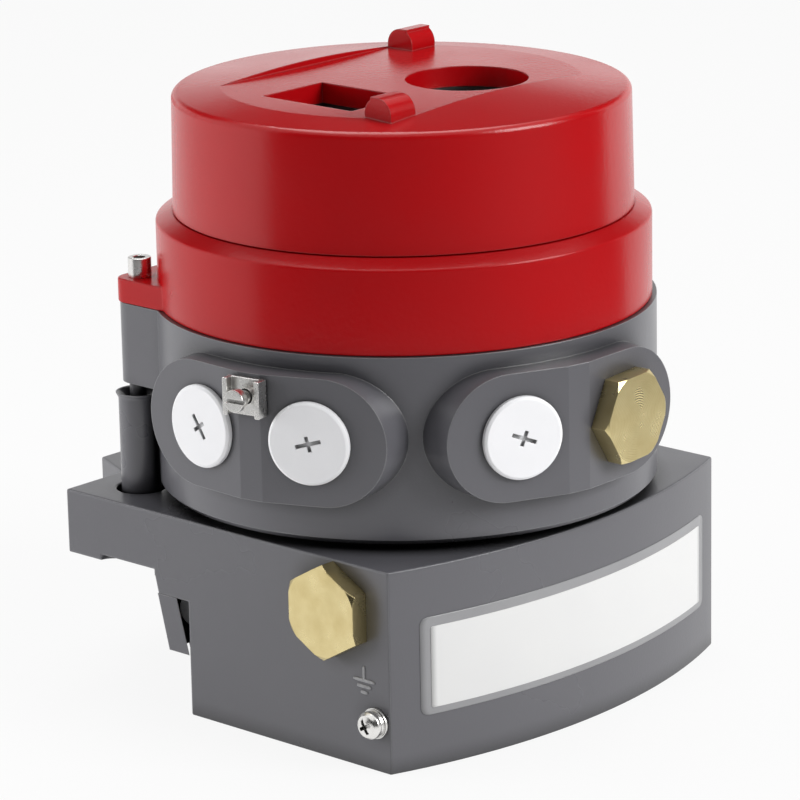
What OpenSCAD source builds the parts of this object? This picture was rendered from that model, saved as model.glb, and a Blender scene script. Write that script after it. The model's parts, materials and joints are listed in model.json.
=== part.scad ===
// Valve positioner: a round electronics housing with a screwed cover on a pneumatic base block.
// Millimetres. Origin on the feedback shaft's axis, at the mounting face under the wing. +Z is up.

/* [Base block] */
// Width of the base block
base_w = 148; // [144:1:160]
// Depth of the block below the mounting face
block_drop = 40.8; // [38:0.2:48]
// Thickness of the wing above the mounting face
wing_t = 20; // [19:0.5:26]
// Distance from the housing axis to the front of the block
front_reach = 72.6; // [70:0.2:80]
// Radius of the curved front
front_r = 203; // [180:1:260]
// Distance from the housing axis to the back of the deep block
block_back = 22.1; // [20:0.1:26]
// Distance from the housing axis to the end of the wing
wing_reach = 72.8; // [70:0.2:80]
// Distance from the housing axis to the end of the tongue
tongue_reach = 89; // [86:0.5:96]
// Width of the tongue where it leaves the wing
tongue_root_w = 102; // [90:1:110]
// Width of the tongue at its end
tongue_tip_w = 87; // [70:1:88]
// How far the tapered rib stands behind the block at the wing
rib_top = 14; // [10:0.5:16]
// How far the tapered rib stands behind the block at its foot
rib_foot = 8; // [5:0.5:10]
// Height of the tapered rib below the mounting face
rib_h = 24; // [20:0.5:30]
// Height of the rib's top band, which is flush with the block's sides
rib_band = 5.5; // [4:0.5:5.5]
// How far the rib's sides are set back below that band
rib_setback = 8; // [4:0.5:12]
// Distance from the shaft axis to the housing axis
shaft_offset = 54; // [52:0.5:55]

/* [Housing] */
// Radius of the housing
body_r = 75.3; // [75:0.1:78]
// Height of the housing's side
body_h = 55.7; // [52:0.1:62]
// Radius of the neck that the housing stands on
neck_r = 68; // [67.5:0.1:70]
// Height of the shadow gap between base and housing
neck_gap = 2.1; // [1.5:0.1:4]
// Thickness of the gasket under the neck
gasket_t = 1; // [0.6:0.1:1.4]
// Thickness of the housing's floor
floor_t = 9; // [8:0.5:14]
// Thickness of the housing's wall
body_wall = 9; // [8:0.1:10]
// Depth of the register that centres the collar
register_d = 6; // [4:0.5:8]

/* [Conduits] */
// Directions of the two oval bosses, in degrees about the housing axis
boss_angles = [-170.5, -101.5]; // [-360:0.5:360]
// Half of the angle between the two conduits of a boss
conduit_half_angle = 13; // [12:0.5:15]
// Distance from the housing axis to a boss's faces
conduit_face_r = 82; // [81:0.1:86]
// Height of an oval boss
boss_h = 38; // [34:0.5:40]
// Length of an oval boss
boss_l = 82; // [76:0.5:86]
// Height of the conduit axes above the mounting face
conduit_z = 53.9; // [50:0.1:56]
// Radius of a conduit bore
conduit_r = 9.5; // [9:0.1:10.5]
// Width of the flat between two conduits
earth_flat_w = 7.5; // [5:0.5:8]
// Radius of a plastic cap
cap_r = 12.3; // [11.5:0.1:13]
// Thickness of a plastic cap
cap_t = 2; // [1.5:0.1:3]
// Width across the flats of the hexagon plugs
plug_af = 25; // [22:0.5:26]
// How far a hexagon plug stands out
plug_proud = 5.8; // [5:0.2:13]
// Length of a plug's threaded end
plug_l = 14; // [10:0.5:16]

/* [Collar] */
// Radius of the collar
collar_r = 74; // [73:0.1:74.8]
// Height of the collar's side
collar_h = 25.1; // [22:0.1:30]
// Height of the sloping shoulder
shoulder_h = 2.5; // [1.5:0.1:4]
// Radius of the threaded hole in the collar
thread_r = 66; // [65.5:0.1:66.5]
// Offset of the ear screws from the housing axis, sideways
ear_x = 55.5; // [55:0.5:58]
// Offset of the ear screws from the housing axis, backwards
ear_y = 56.5; // [56:0.5:59]
// Distance from the ear screw to the ear's edge
ear_half = 6.2; // [5.5:0.1:7]
// Thickness of the ear
ear_t = 7.3; // [6:0.1:9]
// Height of the housing's ear boss
ear_boss_h = 24.6; // [20:0.2:28]
// Gap between the ear boss and the post under it
post_gap = 3; // [2:0.5:7]
// How far the support post stands outside its ear screw
post_out = 2.5; // [2:0.1:3]
// Radius of the support post
post_r = 6; // [5:0.1:7]
// Radius of the recess in the base round a post
post_recess_r = 7.5; // [7.2:0.1:11]
// Depth of the recess in the base round a post
post_recess_d = 6; // [4:0.5:8]
// Radius of the ear screw's thread
ear_screw_r = 2; // [2:0.1:2.5]

/* [Cover] */
// Radius of the cover at its foot
cover_foot_r = 68.8; // [68:0.1:70]
// Radius of the cover at its rim
cover_rim_r = 68.2; // [67.4:0.1:69]
// Height of the cover's side
cover_h = 35.4; // [32:0.1:44]
// Gap between the collar's shoulder and the cover
cover_gap = 0.4; // [0.3:0.1:1]
// Radius of the rounded rim
rim_round = 2; // [1:0.1:3]
// Slope of the cover's top, rise over run
top_slope = 0.105; // [0.06:0.005:0.14]
// Height of the channel's floor over the rim
channel_rise = 1.3; // [0.8:0.1:1.6]
// Half of the channel's width
channel_half = 37.2; // [34:0.2:40]
// Thickness of the cover's top
top_t = 6.2; // [5:0.1:8]
// Thickness of the cover's wall
cover_wall = 7; // [6:0.1:7.2]
// Length of the threaded skirt inside the collar
skirt_l = 16; // [12:0.5:18]
// Clearance between the skirt and the collar
skirt_clear = 0.3; // [0.2:0.05:0.4]
// Length of a turning lug
lug_l = 10.5; // [8:0.5:12]
// Width of a turning lug
lug_w = 7.8; // [6:0.2:9]
// Height of a turning lug over the channel's floor
lug_h = 6.2; // [4:0.2:9]
// Place of a turning lug along the channel
lug_x = 40.3; // [38:0.1:42]
// Radius of the lug's rounded back
lug_round = 5; // [3:0.2:5.8]

/* [Windows] */
// Width of the display window
window_w = 25.3; // [22:0.1:27]
// Length of the display window
window_l = 35.2; // [30:0.2:37]
// Place of the display window
window_pos = [-28.9, -0.7]; // [-40:0.1:40]
// Radius of the round window
round_r = 18.4; // [16:0.1:19]
// Place of the round window
round_pos = [14, -13.5]; // [-40:0.1:40]
// How far the glass reaches past its window
glass_lap = 3.6; // [3:0.1:4]
// Thickness of the glass
glass_t = 5; // [4:0.5:6]
// Thickness of the glass gasket
glass_gasket_t = 1; // [0.6:0.1:1.5]
// Thickness of the plate that holds the glass
retainer_t = 3; // [2:0.5:4]
// Width of that plate's border outside the glass
retainer_border = 8; // [7.5:0.1:8.5]

/* [Feedback shaft] */
// Radius of the feedback shaft
shaft_r = 4; // [3.5:0.1:4.5]
// Length of the shaft below the mounting face
shaft_free = 14; // [12:0.5:24]
// Radius of the pocket for the magnet
pocket_r = 13; // [12:0.1:13.2]
// Depth of the pocket for the magnet
pocket_d = 11; // [10:0.5:12]
// Radius of the magnet holder
magnet_holder_r = 11; // [10:0.1:11.5]
// Radial clearance of the shaft in its bush
shaft_clear = 0.03; // [0.02:0.01:0.08]
// Wall of the shaft bush
bush_wall = 2; // [1.5:0.1:2.5]
// Spacing of the mounting holes across the wing
mount_span_x = 80; // [70:1:90]
// Spacing of the mounting holes along the wing
mount_span_y = 22; // [18:0.5:24]
// Radius of the mounting holes
mount_hole_r = 2.5; // [2.1:0.1:3.4]
// Depth of the mounting holes
mount_hole_d = 12; // [8:0.5:13]

/* [Spool valve] */
// Distance of the spool's axis in front of the housing axis
spool_y = 10; // [6:0.5:14]
// Depth of the spool's axis below the mounting face
spool_z = 18; // [16:0.5:22]
// Radius of the spool
spool_r = 5; // [4:0.1:5.5]
// Length of the spool
spool_l = 72; // [64:1:76]
// Wall of the spool's sleeve
sleeve_wall = 4; // [3:0.1:4.5]
// Length of the spool's sleeve
sleeve_l = 100; // [96:1:104]
// Travel of the spool each way
spool_travel = 2; // [1:0.5:3]
// Radial clearance of the spool
spool_clear = 0.03; // [0.02:0.01:0.08]

/* [Ports] */
// Height of the port axes above the mounting face
port_z = 5; // [4:0.2:9]
// Distance of the front ports in front of the housing axis
port_front_y = 37.5; // [36:0.5:44]
// Distance of the second port behind the front one
port_pitch = 38; // [34:0.5:40]
// Radius of the ports
port_r = 9.5; // [9:0.1:10]
// Depth of the ports
port_d = 18; // [16:0.5:20]
// Height of the ground screw above the block's foot
ground_z = 14.8; // [12:0.2:20]
// Distance of the ground screw in front of the housing axis
ground_y = 53.2; // [50:0.2:54]

/* [Electronics] */
// Radius of the boards and plates inside the housing
board_r = 56; // [52:0.5:57]
// Thickness of a circuit board
board_t = 1.6; // [1:0.1:2.4]
// Height of the chassis plate over the housing's floor
chassis_h = 32; // [30:0.5:36]
// Thickness of the chassis plate
chassis_t = 3; // [2:0.5:4]
// Distance of the stand-offs from the housing axis
standoff_pcd_r = 49; // [46:0.5:50]
// Height of the main board over the chassis plate
main_board_h = 18; // [15:0.5:20]
// Height of the interface board over the main board
interface_h = 16; // [14:0.5:18]
// Height of the keypad panel over the interface board
panel_h = 6; // [5.5:0.1:8]
// Thickness of the keypad panel
panel_t = 2.5; // [2:0.1:3]
// Radius of a button
button_r = 3.5; // [3:0.1:4]
// Distance of the buttons from the middle of the keypad
button_pitch = 10; // [9:0.1:11]
// Travel of a button
button_travel = 0.8; // [0.5:0.1:1]
// Clearance round a button
button_clear = 0.3; // [0.2:0.05:0.4]

/* [Hidden] */
$fn = 96;

// Clearance of a part that is pushed into a hole
seat_clear = 0.05;
// Clearance hole over a screw's thread
screw_clear = 0.3;
// Clearance round a part that sits on a machined face
spot_clear = 0.6;
// How far a cutting shape runs past the face it cuts
past = 1;
// Radius of the small plug in the rib's side, and the width of the ring round it
rear_plug_r = 4;
rear_ring_w = 1.2;

base_top = wing_t;
neck_z = base_top + gasket_t;
body_z = base_top + neck_gap;
body_floor = neck_z + floor_t;
body_top = body_z + body_h;
cavity_r = body_r - body_wall - 0.3;
register_r = (cavity_r + body_r) / 2 - 0.6;
body_edge = 1.5;

collar_top = body_top + collar_h;
shoulder_top = collar_top + shoulder_h;
shoulder_r = cover_foot_r + 0.4;
cover_z = shoulder_top + cover_gap;
cover_rim_z = cover_z + cover_h;
channel_z = cover_rim_z + channel_rise;
ceiling_z = channel_z - top_t;
skirt_r = thread_r - skirt_clear;
skirt_z = cover_z - skirt_l;
cover_in_r = cover_foot_r - cover_wall;
seal_r = 1.05;
seal_mid_r = skirt_r - 0.85;
seal_z = cover_z - 4;

ear_boss_z = body_top - ear_boss_h;
post_top = ear_boss_z - post_gap;
post_z = base_top - post_recess_d;
post_rim = 0.9;
post_cup_d = 3;
post_clear = 0.3;
post_x = ear_x + post_out;
stud_r = 2.5;
ear_corner = 5;
stud_grip = 8;
ear_head_r = 3.5;
ear_head_h = 6;
ear_screw_grip = 10;
ground_screw_l = 12;
collar_seal_r = 1;

rib_w = base_w - 2 * rib_setback;
rear_plug_y = block_back + rear_plug_r + rear_ring_w + 0.2;
rear_plug_z = -rib_band - rear_plug_r - rear_ring_w - 0.2;
rear_plug_l = 9;
rear_plug_head = 1.6;
plug_stem_r = conduit_r - seat_clear;
port_stem_r = port_r - seat_clear;
plug_chamfer = 1.2;
plug_corner_r = plug_af / 2 / cos(30);
conduit_plug_turn = 33;
port_plug_turn = 0;

glass_z = ceiling_z - glass_gasket_t - glass_t;
retainer_z = glass_z - retainer_t;
retainer_screw_r = 1.5;
retainer_grip = 6;
retainer_hole_d = retainer_grip + 1;
retainer_head_r = 2.8;
retainer_head_h = 2;
retainer_slot_w = 0.7;
retainer_notch = 12;
window_boss_r = 3.6;
rect_half = [window_w / 2 + glass_lap, window_l / 2 + glass_lap];
round_glass_r = round_r + glass_lap;
retainer_screws_at = concat(
    [for (s = [-1, 1]) [window_pos[0], window_pos[1] + s * (rect_half[1] + window_boss_r + 0.4)]],
    [[window_pos[0] - rect_half[0] - window_boss_r - 0.4, window_pos[1]]],
    [for (a = [-90, 0, 90]) round_pos + (round_glass_r + window_boss_r + 0.4) * [cos(a), sin(a)]]);

pocket_z = base_top - pocket_d;
bush_r = shaft_r + shaft_clear + bush_wall;
bush_flange_r = bush_r + 2;
bush_flange_t = 1.2;
holder_z = pocket_z + bush_flange_t + 0.3;
holder_h = base_top - holder_z - 1;
magnet_r = magnet_holder_r - 4;
magnet_t = 3;
clip_z = 0.6;
clip_t = 1;
clip_depth = 0.4;
clip_r = bush_r - 0.1;
seal_ring_r = 0.9;
seal_slack = 0.07;
shaft_seal_mid_r = shaft_r + seal_ring_r - seal_slack + 0.02;

sleeve_r = spool_r + spool_clear + sleeve_wall;
spool_bore_r = sleeve_r + seat_clear;
sleeve_x = -sleeve_l / 2 - 6;
spool_bore_x = sleeve_x - 4;
spool_end_x = sleeve_x + sleeve_l;
spool_stop_gap = 6;
spool_rest_x = sleeve_x + spool_stop_gap + spool_travel;
end_cap_head = 3;
spring_r = spool_r - 1.2;
wire_r = 0.6;

chassis_z = body_floor + chassis_h;
main_board_z = chassis_z + chassis_t + main_board_h;
interface_z = main_board_z + board_t + interface_h;
panel_z = interface_z + board_t + panel_h;
panel_top = panel_z + panel_t;
standoff_r = 3;
standoff_hole_r = 1.6;
standoff_angles = [40, 140, 220, 320];
button_flange_r = button_r + 1.4;
button_flange_t = 1.5;
button_flange_z = panel_z - button_clear - button_flange_t;
button_proud = 3;
mat_t = 1.5;
dome_h = panel_h - button_clear - button_flange_t - button_travel - mat_t - 0.2;
display_h = 6;
body_screw_pcd_r = 46;
body_screw_angles = [45, 135, 225, 315];
body_screw_r = 3;
terminal_count = 6;
terminal_pitch = 7;
terminal_h = 12;
terminal_w = 12;
terminal_row_r = 34;
terminal_screw_r = 2.1;
terminal_well = 5;
wire_entry = 4;
pilot_size = [28, 22, 16];
pilot_y = -19;
pilot_coil_r = 8;
pilot_coil_h = 9;
cell_pitch = 15;
cell_y = 6;
cell_r = 5.5;
cell_h = 9;
cell_neck_r = 3;
cell_neck_h = 5;
processor = [16, 16, 2.2];
processor_at = [-22, -8];
converter = [22, 12, 8];
converter_at = [4, 8];
capacitor_at = [8, -18];
capacitor_pitch = 11;
capacitor_r = 4;
capacitor_h = 10;
body_screw_head_r = 5;
body_screw_head_h = 6;
body_screw_grip = 10;
earth_rise = 12.4;
earth_z = conduit_z + earth_rise;
cap_turns = [-55, 16, -22];
earth_plate_l = 11;
earth_plate_w = 12.5;
earth_plate_t = 1.6;
earth_r = conduit_face_r / cos(conduit_half_angle) - earth_flat_w / 2 * tan(conduit_half_angle);
earth_spot_r = earth_r + seat_clear / 2;
earth_seat_r = earth_r + seat_clear;
conduit_spot_r = conduit_face_r + seat_clear / 2;
conduit_seat_r = conduit_face_r + seat_clear;

// Colours of the finishes
red_paint = [0.72, 0.04, 0.06];
grey_paint = [0.36, 0.36, 0.38];
brass_metal = [0.78, 0.62, 0.30];
nickel = [0.75, 0.75, 0.76];
white_plastic = [0.92, 0.92, 0.93];
black_rubber = [0.06, 0.06, 0.06];
board_green = [0.06, 0.26, 0.14];
dark_plastic = [0.12, 0.12, 0.13];
bronze = [0.62, 0.45, 0.25];

// Places the children in the housing's own axis
module at_body() {
    translate([0, -shaft_offset, 0]) children();
}

// Places the children at a radius and height on the housing, with +X pointing outwards
module radial(angle, r, z) {
    at_body() translate([0, 0, z]) rotate(angle) translate([r, 0, 0]) children();
}

// A plain ring that stands on z = 0
module ring(outer, inner, h) {
    difference() {
        cylinder(r = outer, h = h);
        translate([0, 0, -past]) cylinder(r = inner, h = h + 2 * past);
    }
}

// A round seal ring about the Z axis
module torus(mid_r, wire) {
    rotate_extrude() translate([mid_r, 0]) circle(r = wire, $fn = 32);
}

// A socket head screw that hangs from z = 0, with its head above
module cap_screw(head_r, head_h, shank_r, shank_l, socket_af) {
    difference() {
        union() {
            cylinder(r = head_r, h = head_h);
            translate([0, 0, -shank_l]) cylinder(r = shank_r, h = shank_l);
        }
        translate([0, 0, head_h * 0.45])
            cylinder(d = socket_af / cos(30), h = head_h, $fn = 6);
    }
}

// A slotted cheese head screw that hangs from z = 0
module slotted_screw(head_r, head_h, shank_r, shank_l, slot_w) {
    difference() {
        union() {
            cylinder(r = head_r, h = head_h);
            translate([0, 0, -shank_l]) cylinder(r = shank_r, h = shank_l);
        }
        translate([-head_r - past, -slot_w / 2, head_h * 0.55])
            cube([2 * (head_r + past), slot_w, head_h]);
    }
}

// A hexagon plug along +X: the hexagon stands out of x = 0, the thread goes in
module hex_plug(stem_r, turn) {
    rotate([0, 90, 0]) {
        intersection() {
            rotate(turn) cylinder(r = plug_corner_r, h = plug_proud, $fn = 6);
            union() {
                cylinder(r = plug_corner_r + past, h = plug_proud - plug_chamfer);
                translate([0, 0, plug_proud - plug_chamfer])
                    cylinder(r1 = plug_corner_r + plug_chamfer / 4, r2 = plug_af / 2 + plug_chamfer / 2,
                        h = plug_chamfer);
            }
        }
        translate([0, 0, -plug_l]) cylinder(r = stem_r, h = plug_l);
    }
}

// Outline of an oval boss: an upright slot shape, square to the boss's direction
module oval(l, h) {
    square([l - h, h], center = true);
    for (s = [-1, 1]) translate([s * (l - h) / 2, 0]) circle(d = h);
}

// Outline of the base block with its curved front
module base_outline() {
    intersection() {
        translate([-base_w / 2, -front_reach - past])
            square([base_w, front_reach + past + wing_reach]);
        translate([0, front_r - front_reach]) circle(r = front_r, $fn = 180);
    }
}

// Holes that the base block and the base share
module mount_holes() {
    for (sx = [-1, 1], sy = [-1, 1])
        translate([sx * mount_span_x / 2, sy * mount_span_y / 2, -past])
            cylinder(r = mount_hole_r, h = mount_hole_d + past);
}

// Recess along a side edge under the wing, with a round end
module edge_recess() {
    recess_d = 1.8;
    recess_w = 12;
    end_r = 4.5;
    recess_y = block_back + rib_top - shaft_offset;
    translate([base_w / 2 - recess_w, recess_y, -past])
        cube([recess_w + past, -recess_y, recess_d + past]);
    translate([base_w / 2, 0, -past]) cylinder(r = end_r, h = recess_d + past);
}

// The rib behind the deep block, over a given width
module tapered_rib(w, h) {
    translate([-w / 2, block_back - past, -h]) rotate([90, 0, 90]) linear_extrude(w)
        polygon([[0, 0], [rib_foot + past, 0], [rib_top + past, h + past], [0, h + past]]);
}

module base_block() {
    color(grey_paint) difference() {
        union() {
            at_body() translate([0, 0, -block_drop])
                linear_extrude(block_drop + wing_t) base_outline();
            at_body() linear_extrude(wing_t) polygon([
                [-tongue_root_w / 2, wing_reach - past], [tongue_root_w / 2, wing_reach - past],
                [tongue_tip_w / 2, tongue_reach], [-tongue_tip_w / 2, tongue_reach]]);
        }
        // Space behind the deep block, round the tapered rib
        at_body() difference() {
            translate([-base_w / 2 - past, block_back, -block_drop - past])
                cube([base_w + 2 * past, tongue_reach, block_drop + past]);
            tapered_rib(rib_w, rib_h);
            intersection() {
                tapered_rib(base_w, rib_h);
                translate([-base_w / 2, 0, -rib_band]) cube([base_w, tongue_reach, rib_band + past]);
            }
        }
        mount_holes();
        for (s = [0, 1]) mirror([s, 0, 0]) edge_recess();
        // Shaft bore and magnet pocket
        translate([0, 0, -past]) cylinder(r = bush_r + seat_clear, h = wing_t);
        translate([0, 0, pocket_z]) cylinder(r = pocket_r, h = pocket_d + past);
        // Spool bore
        at_body() translate([spool_bore_x, -spool_y, -spool_z]) rotate([0, 90, 0])
            cylinder(r = spool_bore_r, h = base_w);
        // Ports: one plugged on the left, two open on the right
        at_body() {
            translate([-base_w / 2 - past, -port_front_y, port_z]) rotate([0, 90, 0])
                cylinder(r = port_r, h = port_d + past);
            for (i = [0, 1])
                translate([base_w / 2 - port_d, -port_front_y + i * port_pitch, port_z])
                    rotate([0, 90, 0]) cylinder(r = port_r, h = port_d + past);
            translate([-base_w / 2 - past, -ground_y, ground_z - block_drop]) rotate([0, 90, 0])
                cylinder(r = ear_screw_r + seat_clear, h = ground_screw_l + past);
            for (s = [-1, 1]) translate([s * post_x, ear_y, post_z])
                cylinder(r = post_recess_r, h = post_recess_d + past);
            for (a = body_screw_angles)
                rotate(a) translate([body_screw_pcd_r, 0, base_top - body_screw_grip - past])
                    cylinder(r = body_screw_r + seat_clear, h = body_screw_grip + 2 * past);
            rear_plug_place() translate([-past, 0, 0]) rotate([0, 90, 0])
                cylinder(r = rear_plug_r + seat_clear, h = rear_plug_l + 2 * past);
        }
    }
}

// Places the children on the rib's left side face, with +X going into the rib
module rear_plug_place() {
    translate([-rib_w / 2, rear_plug_y, rear_plug_z]) children();
}

module base_gasket() {
    color(black_rubber) at_body() translate([0, 0, base_top]) difference() {
        cylinder(r = neck_r - 0.5, h = gasket_t);
        translate([0, 0, -past]) cylinder(r = body_screw_pcd_r + 4, h = gasket_t + 2 * past);
    }
}

// One oval boss with two faces, each square to its own conduit
module conduit_boss() {
    intersection() {
        rotate([90, 0, 90]) linear_extrude(conduit_face_r + 10) oval(boss_l, boss_h);
        for_both_faces();
        translate([0, 0, -boss_h]) linear_extrude(2 * boss_h)
            translate([cavity_r * cos(45), -boss_l]) square([earth_r - cavity_r * cos(45), 2 * boss_l]);
    }
}

// The room inside both faces of an oval boss
module for_both_faces() {
    intersection_for(s = [-1, 1])
        rotate(s * conduit_half_angle)
            translate([-past, -2 * boss_l, -boss_h])
                cube([conduit_face_r + past, 4 * boss_l, 2 * boss_h]);
}

// Outline of an ear round its screw, running into the ring, with a given round at its corner
module ear_outline(corner) {
    for (s = [0, 1]) mirror([s, 0, 0]) {
        translate([ear_x - 3 * ear_half, ear_y - 3 * ear_half]) {
            square([4 * ear_half - corner, 4 * ear_half]);
            square([4 * ear_half, 4 * ear_half - corner]);
        }
        translate([ear_x + ear_half - corner, ear_y + ear_half - corner]) circle(r = corner);
    }
}

module body_housing() {
    color(grey_paint) at_body() difference() {
        union() {
            rotate_extrude() polygon([
                [0, neck_z], [neck_r, neck_z], [neck_r, body_z], [body_r - body_edge, body_z],
                [body_r, body_z + body_edge], [body_r, body_top], [0, body_top]]);
            for (a = boss_angles) translate([0, 0, conduit_z]) rotate(a) conduit_boss();
            translate([0, 0, ear_boss_z]) linear_extrude(ear_boss_h) ear_outline(ear_half);
        }
        translate([0, 0, body_floor]) cylinder(r = cavity_r, h = body_top);
        translate([0, 0, body_top - register_d]) cylinder(r = register_r, h = body_top);
        for (a = boss_angles, s = [-1, 1])
            translate([0, 0, conduit_z]) rotate(a + s * conduit_half_angle) rotate([0, 90, 0])
                {
                    cylinder(r = conduit_r, h = conduit_face_r + past);
                    translate([0, 0, conduit_spot_r]) cylinder(r = plug_corner_r + spot_clear, h = boss_h);
                }
        for (s = [-1, 1]) {
            // A shallow flute lets the support post stand close against the wall
            translate([s * post_x, ear_y, body_z - past])
                cylinder(r = post_r + post_rim + post_clear, h = post_top + post_clear - body_z + past);
            translate([s * post_x, ear_y, ear_boss_z - past])
                cylinder(r = stud_r + 2 * seat_clear, h = stud_grip + past);
            translate([s * ear_x, ear_y, body_top - ear_screw_grip - past])
                cylinder(r = ear_screw_r + seat_clear, h = ear_screw_grip + 2 * past);
        }
        for (a = body_screw_angles) rotate(a) translate([body_screw_pcd_r, 0, 0])
            cylinder(r = body_screw_r + screw_clear, h = body_top);
        translate([0, 0, earth_z]) rotate(boss_angles[0]) rotate([0, 90, 0])
            translate([0, 0, earth_r - 10]) cylinder(r = ear_screw_r + seat_clear, h = 10 + past);
        translate([0, 0, earth_z]) rotate(boss_angles[0])
            translate([earth_spot_r, -earth_plate_w / 2 - spot_clear, -earth_plate_l / 2 - spot_clear])
                cube([boss_h, earth_plate_w + 2 * spot_clear, earth_plate_l + 2 * spot_clear]);
    }
}

module body_screws() {
    color(nickel) at_body() for (a = body_screw_angles)
        rotate(a) translate([body_screw_pcd_r, 0, body_floor])
            cap_screw(body_screw_head_r, body_screw_head_h, body_screw_r,
                floor_t + gasket_t + body_screw_grip, body_screw_r * 5 / 3);
}

module collar_ring() {
    color(red_paint) at_body() difference() {
        union() {
            rotate_extrude() polygon([
                [thread_r, body_top - register_d + 0.4], [register_r - 0.1, body_top - register_d + 0.4],
                [register_r - 0.1, body_top], [collar_r, body_top], [collar_r, collar_top],
                [shoulder_r, shoulder_top], [thread_r, shoulder_top]]);
            difference() {
                translate([0, 0, body_top]) linear_extrude(ear_t) ear_outline(ear_corner);
                translate([0, 0, body_top - past]) cylinder(r = register_r, h = ear_t + 2 * past);
            }
        }
        for (s = [-1, 1]) translate([s * ear_x, ear_y, body_top - past])
            cylinder(r = ear_screw_r + screw_clear, h = ear_t + 2 * past);
        translate([0, 0, body_top - register_d / 2 - collar_seal_r - 0.1])
            ring(register_r + past, register_r - 2.2 * collar_seal_r, 2 * collar_seal_r + 0.2);
    }
}

module collar_o_ring() {
    color(black_rubber) at_body() translate([0, 0, body_top - register_d / 2])
        torus(register_r - collar_seal_r - 0.05, collar_seal_r);
}

module collar_screws() {
    color(nickel) at_body() for (s = [-1, 1])
        translate([s * ear_x, ear_y, body_top + ear_t])
            cap_screw(ear_head_r, ear_head_h, ear_screw_r, ear_t + ear_screw_grip, ear_head_r);
}

module support_posts() {
    color(grey_paint) at_body() for (s = [-1, 1]) translate([s * post_x, ear_y, 0]) {
        rotate_extrude() polygon([
            [0, post_z], [post_r, post_z], [post_r, post_top - 2 * post_rim], [post_r + post_rim, post_top],
            [post_r, post_top], [stud_r, post_top - post_cup_d], [0, post_top - post_cup_d]]);
        translate([0, 0, post_top - post_cup_d - past])
            cylinder(r = stud_r, h = post_cup_d + past + post_gap + stud_grip - seat_clear);
    }
}

// A push-in cap with a cross of one long and one short slit in its face
module conduit_cap(turn) {
    slit_lengths = [8, 4.6];
    slit_w = 1.1;
    slit_d = 1.2;
    difference() {
        rotate([0, 90, 0]) {
            rotate_extrude() polygon([
                [0, 0], [cap_r, 0], [cap_r, cap_t - 0.6], [cap_r - 0.8, cap_t], [0, cap_t]]);
            translate([0, 0, -plug_l]) cylinder(r = plug_stem_r, h = plug_l);
        }
        for (i = [0, 1]) rotate([turn + 90 * i, 0, 0])
            translate([cap_t - slit_d, -slit_lengths[i] / 2, -slit_w / 2])
                cube([slit_d + past, slit_lengths[i], slit_w]);
    }
}

module conduit_caps() {
    color(white_plastic) {
        for (i = [0, 1])
            radial(boss_angles[0] + (2 * i - 1) * conduit_half_angle, conduit_seat_r, conduit_z)
                conduit_cap(cap_turns[i]);
        radial(boss_angles[1] - conduit_half_angle, conduit_seat_r, conduit_z)
            conduit_cap(cap_turns[2]);
    }
}

module conduit_plug() {
    color(brass_metal) radial(boss_angles[1] + conduit_half_angle, conduit_seat_r, conduit_z)
        hex_plug(plug_stem_r, conduit_plug_turn);
}

module port_plug() {
    color(brass_metal) at_body() translate([-base_w / 2, -port_front_y, port_z]) rotate(180)
        hex_plug(port_stem_r, port_plug_turn);
}

module rear_port_plug() {
    color(white_plastic) at_body() rear_plug_place() rotate([0, 90, 0]) {
        cylinder(r = rear_plug_r, h = rear_plug_l);
        translate([0, 0, -rear_plug_head])
            cylinder(r = rear_plug_r + rear_ring_w / 2, h = rear_plug_head);
    }
}

module rear_plug_ring() {
    color(black_rubber) at_body() rear_plug_place() rotate([0, 90, 0])
        translate([0, 0, -rear_plug_head / 2])
            ring(rear_plug_r + rear_ring_w, rear_plug_r + rear_ring_w / 2 + seat_clear, rear_plug_head / 2);
}

// A bent saddle plate with two raised ends
module earth_clamp() {
    end_h = 4.2;
    color(nickel) radial(boss_angles[0], earth_seat_r, earth_z) difference() {
        union() {
            translate([0, -earth_plate_w / 2, -earth_plate_l / 2])
                cube([earth_plate_t, earth_plate_w, earth_plate_l]);
            for (s = [-1, 1])
                translate([end_h / 2, s * (earth_plate_w - earth_plate_t) / 2, 0])
                    cube([end_h, earth_plate_t, earth_plate_l], center = true);
        }
        rotate([0, 90, 0]) translate([0, 0, -past]) cylinder(r = ear_screw_r + screw_clear, h = end_h);
    }
}

module earth_screw() {
    backed_out = 3.4;
    grip = 10;
    color(nickel) radial(boss_angles[0], earth_seat_r + earth_plate_t + backed_out, earth_z)
        rotate([0, 90, 0]) rotate(90) slotted_screw(3.3, 2.6, ear_screw_r, grip + earth_plate_t, 1.1);
}

module ground_screw() {
    cross_l = 4.4;
    cross_w = 1;
    color(nickel) at_body() translate([-base_w / 2 - 2.2, -ground_y, ground_z - block_drop])
        rotate([0, -90, 0]) difference() {
            union() {
                rotate_extrude() polygon([
                    [0, 0], [4.1, 0], [4.1, 1.3], [3.2, 2.5], [1.6, 3.1], [0, 3.1]]);
                translate([0, 0, -ground_screw_l]) cylinder(r = ear_screw_r, h = ground_screw_l);
            }
            for (a = [0, 90]) rotate(a + 30) translate([-cross_l / 2, -cross_w / 2, 1.4])
                cube([cross_l, cross_w, 3]);
        }
}

module ground_washers() {
    color(nickel) at_body() translate([-base_w / 2, -ground_y, ground_z - block_drop])
        rotate([0, -90, 0]) {
            ring(4.6, ear_screw_r + 0.15, 1);
            translate([0, 0, 1]) ring(3.9, ear_screw_r + 0.15, 1.2);
        }
}

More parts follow.
